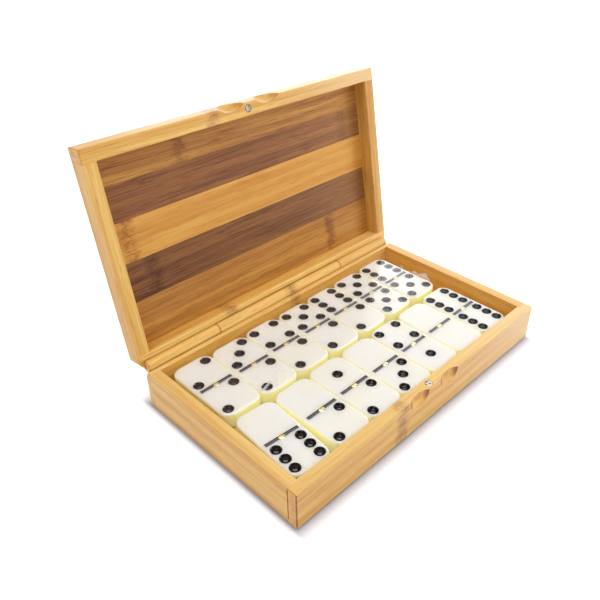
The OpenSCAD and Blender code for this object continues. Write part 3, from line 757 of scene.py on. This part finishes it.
def film_section(x):
    """Closed line round the stack at x, in y and z."""
    inset = min(x - film_ends[0], film_ends[1] - x)
    plan = rounded_off(TILE_CORNER, inset)
    front, back = film_reach(x, 0) + plan, film_reach(x, 1) - plan
    top = tile_tops_z - rounded_off(TILE_EDGE, inset)
    rise = [tile_backs_z + (top - TILE_EDGE - tile_backs_z) * k / RISE_STEPS
            for k in range(1, RISE_STEPS + 1)]
    across = back - front - 2 * TILE_EDGE
    line = [(front + FILM_HEM, tile_backs_z), (front, tile_backs_z + FILM_HEM)]
    line += [(front, z) for z in rise]
    line += over_edge(front, 1, top, range(1, ROUND_STEPS))
    for k in range(TOP_STEPS + 1):
        y = front + TILE_EDGE + across * k / TOP_STEPS
        line.append((y, top + (film_lift(x, y) if inset > TILE_EDGE else FILM_OFF)))
    line += over_edge(back, -1, top, range(ROUND_STEPS - 1, 0, -1))
    line += [(back, z) for z in reversed(rise)]
    line += [(back, tile_backs_z + FILM_HEM), (back - FILM_HEM, tile_backs_z)]
    return line


# Places of the sections along the row, in metres from its left end, close together where
# the ends are rounded
STATIONS = 320
END_STEPS = [0.0, 0.00006, 0.0002, 0.0005, 0.0009, 0.0014, 0.0020, 0.0028]
END_LENGTH = 0.0036
film_length = film_ends[1] - film_ends[0]
stations = END_STEPS + [END_LENGTH + (film_length - 2 * END_LENGTH) * k / STATIONS
                        for k in range(STATIONS + 1)]
stations += [film_length - step for step in reversed(END_STEPS)]
film_mesh = bmesh.new()
film_rings = [[film_mesh.verts.new((film_ends[0] + step, y, z))
               for y, z in film_section(film_ends[0] + step)] for step in stations]
for near, far in zip(film_rings, film_rings[1:]):
    skin(film_mesh, near, far, closed=True)
film_mesh.faces.new(film_rings[0])
film_mesh.faces.new(film_rings[-1])

# Ears of torn film that stand up from the seal along the right end: each is a row of
# places along the end and heights over the tiles
EARS = (((0.0160, 0.0004), (0.0148, 0.0018), (0.0135, 0.0027), (0.0115, 0.0036),
         (0.0095, 0.0050), (0.0088, 0.0048), (0.0076, 0.0030), (0.0064, 0.0014),
         (0.0054, 0.0002)),
        ((0.0235, 0.0002), (0.0215, 0.0012), (0.0192, 0.0027), (0.0180, 0.0024),
         (0.0165, 0.0016), (0.0150, 0.0006)),
        ((0.0335, 0.0002), (0.0320, 0.0010), (0.0308, 0.0019), (0.0300, 0.0015),
         (0.0288, 0.0002)))
EAR_LEVELS, EAR_IN, EAR_FOOT, EAR_WAVE = 5, 0.0006, 0.0004, 0.0009
for outline in EARS:
    rows = [[film_mesh.verts.new((
        film_ends[1] - EAR_IN + EAR_WAVE * noise.noise(Vector((y * 700, level * 0.9, 1.7))),
        y, film_high.z - EAR_FOOT + (height + EAR_FOOT) * level / EAR_LEVELS))
        for level in range(EAR_LEVELS + 1)] for y, height in outline]
    for near, far in zip(rows, rows[1:]):
        skin(film_mesh, near, far)

bmesh.ops.recalc_face_normals(film_mesh, faces=film_mesh.faces)
for face in film_mesh.faces:
    face.smooth = len(face.verts) == 4
film_skin = put_in_scene("film_skin", bpy.data.meshes.new("film_skin"))
film_mesh.to_mesh(film_skin.data)
film_mesh.free()

# The film's two faces throw back little light from straight on, all of it along the film.
# Where it stands up torn it is whitish.
STRAIGHT_GLARE, GRAZE_CURVE, FILM_GLOSS = 0.02, 5.0, 0.1
WRINKLES, WRINKLE_TWIST, WRINKLE_STRENGTH, WRINKLE_DEPTH = 220.0, 0.8, 0.35, 0.0004
TORN_FROM, TORN_FULL = film_high.z + 0.0001, film_high.z + 0.0006
HAZE, TORN_HAZE, HAZE_TONE = 0.015, 0.55, (0.94, 0.92, 0.94, 1)
film, film_tree = new_finish("clear_film")
film_place = add(film_tree, "TexCoord").outputs["Object"]
film_wrinkles = mottle(film_tree, film_place, WRINKLES, 3.0, distortion=WRINKLE_TWIST)
film_bump = add(film_tree, "Bump", {"Height": film_wrinkles, "Strength": WRINKLE_STRENGTH,
                                    "Distance": WRINKLE_DEPTH}).outputs[0]
film_gloss = add(film_tree, "BsdfGlossy", {"Color": WHITE, "Roughness": FILM_GLOSS,
                                           "Normal": film_bump})
film_clear = add(film_tree, "BsdfTransparent", {"Color": WHITE})
film_haze = add(film_tree, "BsdfDiffuse", {"Color": HAZE_TONE})
film_angle = add(film_tree, "LayerWeight", {"Blend": 0.5, "Normal": film_bump})
film_graze = reckon(film_tree, "POWER", film_angle.outputs["Facing"], GRAZE_CURVE)
film_share = add(film_tree, "MapRange", {"Value": film_graze, "To Min": STRAIGHT_GLARE,
                                         "To Max": 1.0})
film_torn = fade(film_tree, axes(film_tree, film_place)["Z"], TORN_FROM, TORN_FULL, HAZE,
                 TORN_HAZE)
film_veil = add(film_tree, "MixShader", {0: film_torn, 1: film_clear.outputs[0],
                                         2: film_haze.outputs[0]})
cover(film_tree, add(film_tree, "MixShader", {0: film_share.outputs[0],
                                              1: film_veil.outputs[0],
                                              2: film_gloss.outputs[0]}))
film_skin.data.materials.append(film)
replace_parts(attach(film_skin, "wrapped_set"), "shrink_film")
finish_with(film, "shrink_film")
